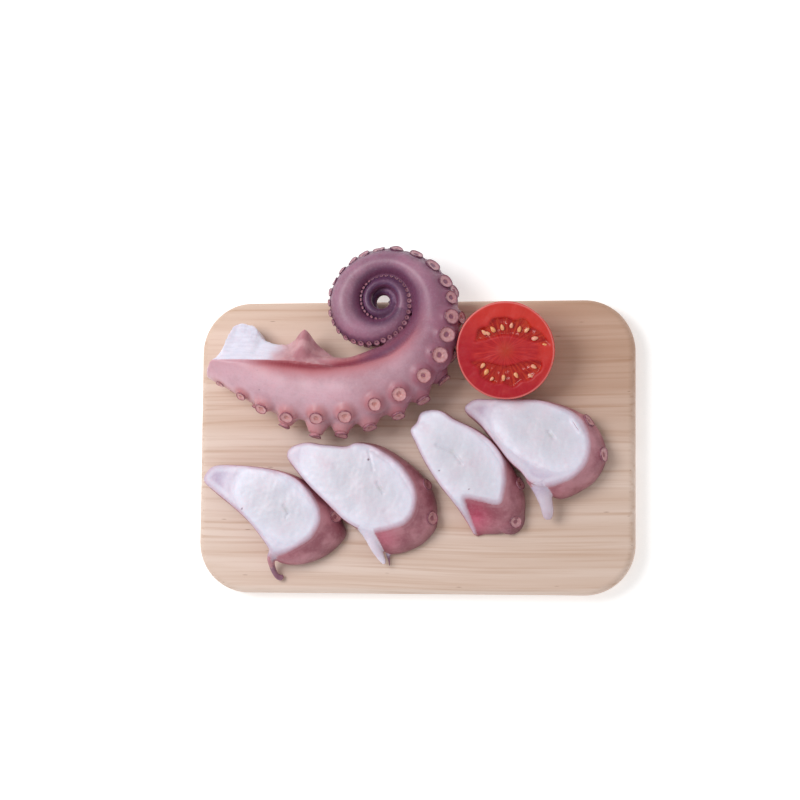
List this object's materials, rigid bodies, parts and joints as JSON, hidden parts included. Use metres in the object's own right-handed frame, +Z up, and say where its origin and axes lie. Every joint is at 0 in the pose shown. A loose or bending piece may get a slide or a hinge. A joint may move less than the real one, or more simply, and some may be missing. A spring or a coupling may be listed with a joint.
{
  "type": "cooked octopus on a wooden board",
  "caption": "Coiled cooked octopus arm with a row of bias-cut octopus slices and half a tomato, resting on a rounded wooden serving board",
  "frame": {"origin": "centre of the board's underside, where it rests", "axes": "+X along the board's length, +Y towards its back edge, +Z up"},
  "size_m": [0.26, 0.2053, 0.0566],
  "materials": {
    "board_wood": "pale straight-grained wood, planed and oiled, satin",
    "octopus_skin": "moist cooked skin, mauve to salmon pink, darker in the coil, suckers with dark rims",
    "octopus_flesh": "moist white cut flesh with a pink to purple skin round it",
    "tomato": "wet red cut tomato flesh with seeds, glossy skin"
  },
  "bodies": {
    "root": {"board": "board_wood", "octopus_arm": "octopus_skin", "slice_1": "octopus_flesh", "slice_2": "octopus_flesh", "slice_3": "octopus_flesh", "slice_4": "octopus_flesh", "tomato_half": "tomato"}
  },
  "joints": []
}
